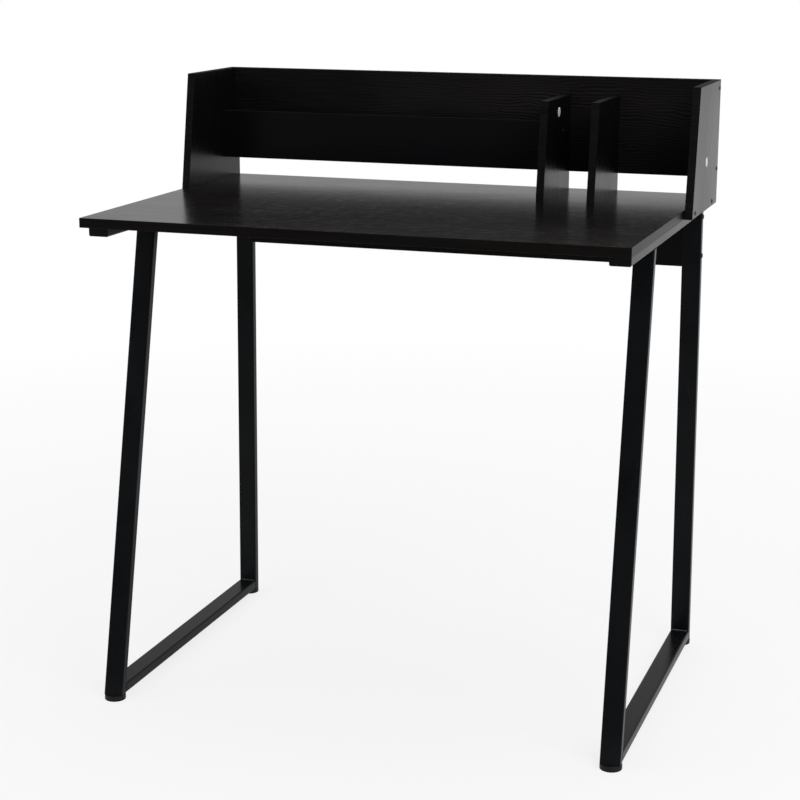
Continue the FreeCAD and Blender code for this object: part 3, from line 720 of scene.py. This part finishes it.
END_DARK = (0.0026, 0.0025, 0.0026)
END_LIGHT = (0.0048, 0.0045, 0.0047)
END_GLOSS = 0.17
MATT_BAND_DARK = (0.0044, 0.004, 0.0043)
MATT_BAND_LIGHT = (0.0104, 0.0096, 0.0102)
MATT_BAND_GLOSS = 0.02
PANEL_SCREW = {"head": 3.7, "height": 1, "shank": 2.5, "length": 38, "socket": 1.9, "depth": 0.8}
END_OUTER = 412
END_SCREW_ROWS = (104, 246.5)
END_SCREW_HEIGHT = 736

hutch_band = edge_band(
    "hutch_edge_band_plastic", MATT_BAND_DARK, MATT_BAND_LIGHT, MATT_BAND_GLOSS, smooth=0.5, dull=0.6
)
end_grain = woodgrain(
    "end_panel_woodgrain_foil",
    END_DARK,
    END_LIGHT,
    END_GLOSS,
    sheen=0.27,
    figure=0.12,
    relief=0.06,
    upright=True,
    shift=(0.3, 0.1, 0),
)
for side_name in SIDES:
    dress(end_grain, f"{side_name}_end_panel")
    dress(hutch_band, f"{side_name}_end_panel_edge_band")
end_places = []
for side in SIDES.values():
    for screw_y in END_SCREW_ROWS:
        end_places.append(((side * END_OUTER, screw_y, END_SCREW_HEIGHT), (side, 0, 0)))
fasten("end_panel_screws", PANEL_SCREW, end_places)

# Hutch dividers
# Two upright woodgrain boards with sloping, banded front and top edges. Screws hold them from under the
# desk top and through the rear panel.

DIVIDER_DARK = (0.0028, 0.0027, 0.0027)
DIVIDER_LIGHT = (0.0044, 0.0042, 0.0042)
DIVIDER_GLOSS = 0.13
DIVIDER_MIDDLES = (172, 251)
REAR_FACE = 287.5
DIVIDER_LOW_SCREWS = (152.5, 242.5)
DIVIDER_REAR_SCREWS = (790, 871.8)

divider_grain = woodgrain(
    "divider_woodgrain_foil",
    DIVIDER_DARK,
    DIVIDER_LIGHT,
    DIVIDER_GLOSS,
    sheen=0.28,
    figure=0.12,
    relief=0.04,
    upright=True,
    shift=(0.9, 0.6, 0.2),
)
for side_name in SIDES:
    dress(divider_grain, f"{side_name}_divider")
    dress(hutch_band, f"{side_name}_divider_edge_band")
divider_places = []
for middle in DIVIDER_MIDDLES:
    for screw_y in DIVIDER_LOW_SCREWS:
        divider_places.append(((middle, screw_y, BOARD_LOW / MM), (0, 0, -1)))
    for screw_z in DIVIDER_REAR_SCREWS:
        divider_places.append(((middle, REAR_FACE, screw_z), (0, 1, 0)))
fasten("divider_screws", PANEL_SCREW, divider_places)

# Hutch rear panel
# A long woodgrain board with a strong figure, raised above the desk top so that cables pass under it. Its
# top and bottom edges are banded, and screws through the end panels hold it between them.

REAR_DARK = (0.0021, 0.0018, 0.0019)
REAR_LIGHT = (0.0165, 0.0141, 0.0152)
REAR_GLOSS = 0.13
REAR_MIDDLE = 280
REAR_SCREW_HEIGHTS = (783, 907)

rear_grain = woodgrain(
    "rear_panel_woodgrain_foil",
    REAR_DARK,
    REAR_LIGHT,
    REAR_GLOSS,
    sheen=0.3,
    figure=0.55,
    relief=0.1,
    shift=(1.2, 0.9, 0.1),
)
dress(rear_grain, "rear_panel")
dress(hutch_band, "rear_panel_edge_bands")
rear_places = []
for side in SIDES.values():
    for screw_z in REAR_SCREW_HEIGHTS:
        rear_places.append(((side * END_OUTER, REAR_MIDDLE, screw_z), (side, 0, 0)))
fasten("rear_panel_screws", PANEL_SCREW, rear_places)

# Slot board
# A low, smooth woodgrain board with banded long edges, which makes a slot for papers in the wide left bay.
# A beech dowel and a screw at each end hold it between the left end panel and the left divider.

SLOT_DARK = (0.0028, 0.0029, 0.0035)
SLOT_LIGHT = (0.005, 0.0051, 0.0062)
SLOT_GLOSS = 0.14
BEECH_DARK = (0.36, 0.21, 0.11)
BEECH_LIGHT = (0.58, 0.39, 0.24)
DIVIDER_FACE = 178
SLOT_SCREW_Y, SLOT_SCREW_Z = 228.5, 837.9

slot_grain = woodgrain(
    "slot_board_woodgrain_foil",
    SLOT_DARK,
    SLOT_LIGHT,
    SLOT_GLOSS,
    sheen=0.26,
    figure=0.05,
    relief=0.04,
    shift=(0.5, 0.3, 0.8),
)
dress(slot_grain, "slot_board")
dress(hutch_band, "slot_board_edge_bands")
slot_places = [
    ((-END_OUTER, SLOT_SCREW_Y, SLOT_SCREW_Z), (-1, 0, 0)),
    ((DIVIDER_FACE, SLOT_SCREW_Y, SLOT_SCREW_Z), (1, 0, 0)),
]
fasten("slot_board_screws", PANEL_SCREW, slot_places)


def beech_wood(name):
    """Plain beech with short dark flecks along the dowel."""
    finish, tree, shader, place = new_finish(name)
    flecks = noise(tree, laid(tree, place, (90, 1400, 1400)), 1, 3, 0.6)
    timber = toned(tree, flecks, [(0.34, BEECH_DARK), (0.62, BEECH_LIGHT)])
    tree.links.new(timber, shader.inputs["Base Color"])
    tree.links.new(between(tree, flecks, 0.3, 0.7, 0.5, 0.65), shader.inputs["Roughness"])
    raised(tree, shader, flecks, 0.1 * MM, 0.3)
    return finish


dress(beech_wood("beech_dowel"), "slot_board_dowels")

# Cover caps
# Two white plastic caps pressed into the screw holes of the left divider and the right end panel. Each
# has a shallow domed head with a soft rim and a stem in the hole.

CAP_PROFILE = (
    (0, -8.2),
    (3.4, -8.2),
    (3.9, -7.6),
    (3.9, -2),
    (6.9, -2),
    (7.35, -1.7),
    (7.5, -1),
    (7.5, 0.1),
    (7.3, 0.32),
    (6.7, 0.5),
    (4.6, 0.72),
    (2.3, 0.8),
    (0, 0.82),
)
CAP_STEPS = 48
CAP_PLACES = ((DIVIDER_FACE, 197.7, 869.7), (END_OUTER, 184.2, 803))
CAP_DARK = (0.66, 0.655, 0.64)
CAP_LIGHT = (0.78, 0.775, 0.765)


def white_plastic(name):
    """White moulded plastic, a little uneven and slightly soiled."""
    finish, tree, shader, place = new_finish(name)
    soil = noise(tree, place, 160, 4, 0.6)
    tree.links.new(toned(tree, soil, [(0.35, CAP_DARK), (0.6, CAP_LIGHT)]), shader.inputs["Base Color"])
    tree.links.new(between(tree, soil, 0.3, 0.7, 0.32, 0.45), shader.inputs["Roughness"])
    raised(tree, shader, noise(tree, place, 1800, 2), 0.04 * MM, 0.15)
    return finish


caps = bmesh.new()
for seat in CAP_PLACES:
    cap = turned(CAP_PROFILE, CAP_STEPS)
    spot = Matrix.Translation(Vector(seat) * MM) @ Matrix.Rotation(math.pi / 2, 4, "Y")
    bmesh.ops.transform(cap, matrix=spot, verts=cap.verts[:])
    cap_mesh = bpy.data.meshes.new("cap_blank")
    cap.to_mesh(cap_mesh)
    cap.free()
    caps.from_mesh(cap_mesh)
    bpy.data.meshes.remove(cap_mesh)
cap_plastic = white_plastic("white_cap_plastic")
make_piece("cover_caps_moulded", caps, cap_plastic, "desk", "cover_caps")

# Floor and surroundings
# A plain white floor that shows the desk's shadow, in a white studio that is brightest behind and to the
# right of the desk and dark on the camera's side.

FLOOR_HALF = 12
FLOOR_COLOUR = (0.8, 0.8, 0.8)
FLOOR_ROUGHNESS = 0.9
FLOOR_NEAR, FLOOR_FAR = 0.75, 2.6
FLOOR_WHITE = 0.8
FLOOR_UNDER, FLOOR_CLEAR = 0.3, 0.75
FLOOR_PAINTED_SHADE, FLOOR_BRIGHT = 0.55, 0.84
FLOOR_DARK_Y, FLOOR_BRIGHT_Y = -1.7, -0.7
FLOOR_DIM = 0.28
AMBIENT = 0.4
SURROUND_BRIGHT = (0.3, 0.95, 0.05)
SURROUND_AWAY, SURROUND_TOWARD = -0.35, 0.75
SURROUND_DIM, SURROUND_WHITE = 0.04, 0.64


def seen_and_mirrored(tree):
    """The rays that the camera sees, and the rays that a gloss or a clear piece sees, as two values."""
    rays = tree.nodes.new("ShaderNodeLightPath").outputs
    mirrored = worked(tree, "MAXIMUM", rays["Is Glossy Ray"], rays["Is Transmission Ray"])
    return rays["Is Camera Ray"], mirrored


def shown_white(tree, seen, mirrored, level):
    """Full white for what the camera sees, and a level of its own for what a gloss shows."""
    return worked(tree, "ADD", seen, worked(tree, "MULTIPLY", mirrored, level))


floor_shape = bmesh.new()
bmesh.ops.create_grid(floor_shape, x_segments=2, y_segments=2, size=FLOOR_HALF)
floor_mesh = bpy.data.meshes.new("floor")
floor_shape.to_mesh(floor_mesh)
floor_shape.free()
floor = bpy.data.objects.new("floor", floor_mesh)
bpy.context.scene.collection.objects.link(floor)
floor_finish, floor_tree, floor_shader, floor_place = new_finish("white_studio_floor")
floor_shader.inputs["Base Color"].default_value = (*FLOOR_COLOUR, 1)
floor_shader.inputs["Roughness"].default_value = FLOOR_ROUGHNESS
floor_shader.inputs["Specular IOR Level"].default_value = 0
glow = floor_tree.nodes.new("ShaderNodeEmission")
floor_mix = floor_tree.nodes.new("ShaderNodeMixShader")
spread = floor_tree.nodes.new("ShaderNodeVectorMath")
spread.operation = "LENGTH"
floor_tree.links.new(floor_place, spread.inputs[0])
whitened = between(floor_tree, spread.outputs["Value"], FLOOR_NEAR, FLOOR_FAR, FLOOR_WHITE, 1)
floor_parts = floor_tree.nodes.new("ShaderNodeSeparateXYZ")
floor_tree.links.new(floor_place, floor_parts.inputs["Vector"])
# Painted shade: what a gloss sees of the floor glows less under and near the desk, as a painted shadow of
# the desk. It also glows less far out in front, on the camera's side.
floor_front = between(
    floor_tree, floor_parts.outputs["Y"], FLOOR_DARK_Y, FLOOR_BRIGHT_Y, FLOOR_DIM, FLOOR_BRIGHT
)
painted_desk_shade_on_floor = between(
    floor_tree, spread.outputs["Value"], FLOOR_UNDER, FLOOR_CLEAR, FLOOR_PAINTED_SHADE, FLOOR_BRIGHT
)
floor_level = worked(floor_tree, "MINIMUM", floor_front, painted_desk_shade_on_floor)
seen, mirrored = seen_and_mirrored(floor_tree)
floor_tree.links.new(shown_white(floor_tree, seen, mirrored, floor_level), glow.inputs["Strength"])
either = worked(floor_tree, "MAXIMUM", seen, mirrored)
floor_tree.links.new(worked(floor_tree, "MULTIPLY", either, whitened), floor_mix.inputs["Fac"])
floor_tree.links.new(floor_shader.outputs["BSDF"], floor_mix.inputs[1])
floor_tree.links.new(glow.outputs["Emission"], floor_mix.inputs[2])
floor_tree.links.new(floor_mix.outputs["Shader"], floor_tree.nodes["Material Output"].inputs["Surface"])
floor_mesh.materials.append(floor_finish)

studio = bpy.data.worlds.new("white_studio")
bpy.context.scene.world = studio
studio.use_nodes = True
sky = studio.node_tree
ambient = sky.nodes["Background"]
ambient.inputs["Color"].default_value = (1, 1, 1, 1)
ambient.inputs["Strength"].default_value = AMBIENT
backdrop = sky.nodes.new("ShaderNodeBackground")
backdrop.inputs["Color"].default_value = (1, 1, 1, 1)
direction = sky.nodes.new("ShaderNodeTexCoord").outputs["Generated"]
toward = sky.nodes.new("ShaderNodeVectorMath")
toward.operation = "DOT_PRODUCT"
sky.links.new(direction, toward.inputs[0])
toward.inputs[1].default_value = SURROUND_BRIGHT
surround = between(
    sky, toward.outputs["Value"], SURROUND_AWAY, SURROUND_TOWARD, SURROUND_DIM, SURROUND_WHITE
)
seen, mirrored = seen_and_mirrored(sky)
sky.links.new(shown_white(sky, seen, mirrored, surround), backdrop.inputs["Strength"])
sky_mix = sky.nodes.new("ShaderNodeMixShader")
sky.links.new(worked(sky, "MAXIMUM", seen, mirrored), sky_mix.inputs["Fac"])
sky.links.new(ambient.outputs["Background"], sky_mix.inputs[1])
sky.links.new(backdrop.outputs["Background"], sky_mix.inputs[2])
sky.links.new(sky_mix.outputs["Shader"], sky.nodes["World Output"].inputs["Surface"])

# Lamps
# Large soft studio panels at a plain level: the main one at the front right, a weaker one at the left,
# and one above the desk.

LAMPS = {
    "main_panel": ((2.3, -1.9, 2.6), 2.2, 55),
    "left_panel": ((-2.6, -1.8, 1.9), 2.2, 22),
    "top_panel": ((0.2, 0.4, 3.2), 2.6, 40),
}
LAMP_TARGET = Vector((0, 0, 0.5))

for lamp_name, (lamp_place, lamp_size, lamp_power) in LAMPS.items():
    light = bpy.data.lights.new(lamp_name, "AREA")
    light.shape = "SQUARE"
    light.size = lamp_size
    light.energy = lamp_power
    lamp = bpy.data.objects.new(lamp_name, light)
    lamp.location = lamp_place
    lamp.rotation_euler = (LAMP_TARGET - Vector(lamp_place)).to_track_quat("-Z", "Y").to_euler()
    bpy.context.scene.collection.objects.link(lamp)

# Camera
# Placed where the photograph was taken from: above desk height, well to the right, with a long lens.

CAMERA_PLACE = (0.89976, -2.69055, 1.13394)
CAMERA_YAW = 0.32738
CAMERA_PITCH = -0.23918
CAMERA_ROLL = 0.00236
CAMERA_LENS = 85.5964
SENSOR = 36

view = bpy.data.cameras.new("photograph_view")
view.lens = CAMERA_LENS
view.sensor_fit = "HORIZONTAL"
view.sensor_width = SENSOR
camera = bpy.data.objects.new("photograph_view", view)
camera.location = CAMERA_PLACE
aim = Matrix.Rotation(CAMERA_YAW, 3, "Z") @ Matrix.Rotation(math.pi / 2 + CAMERA_PITCH, 3, "X")
camera.rotation_euler = (aim @ Matrix.Rotation(CAMERA_ROLL, 3, "Z")).to_euler()
bpy.context.scene.collection.objects.link(camera)
bpy.context.scene.camera = camera
bpy.context.scene.view_settings.view_transform = "Standard"
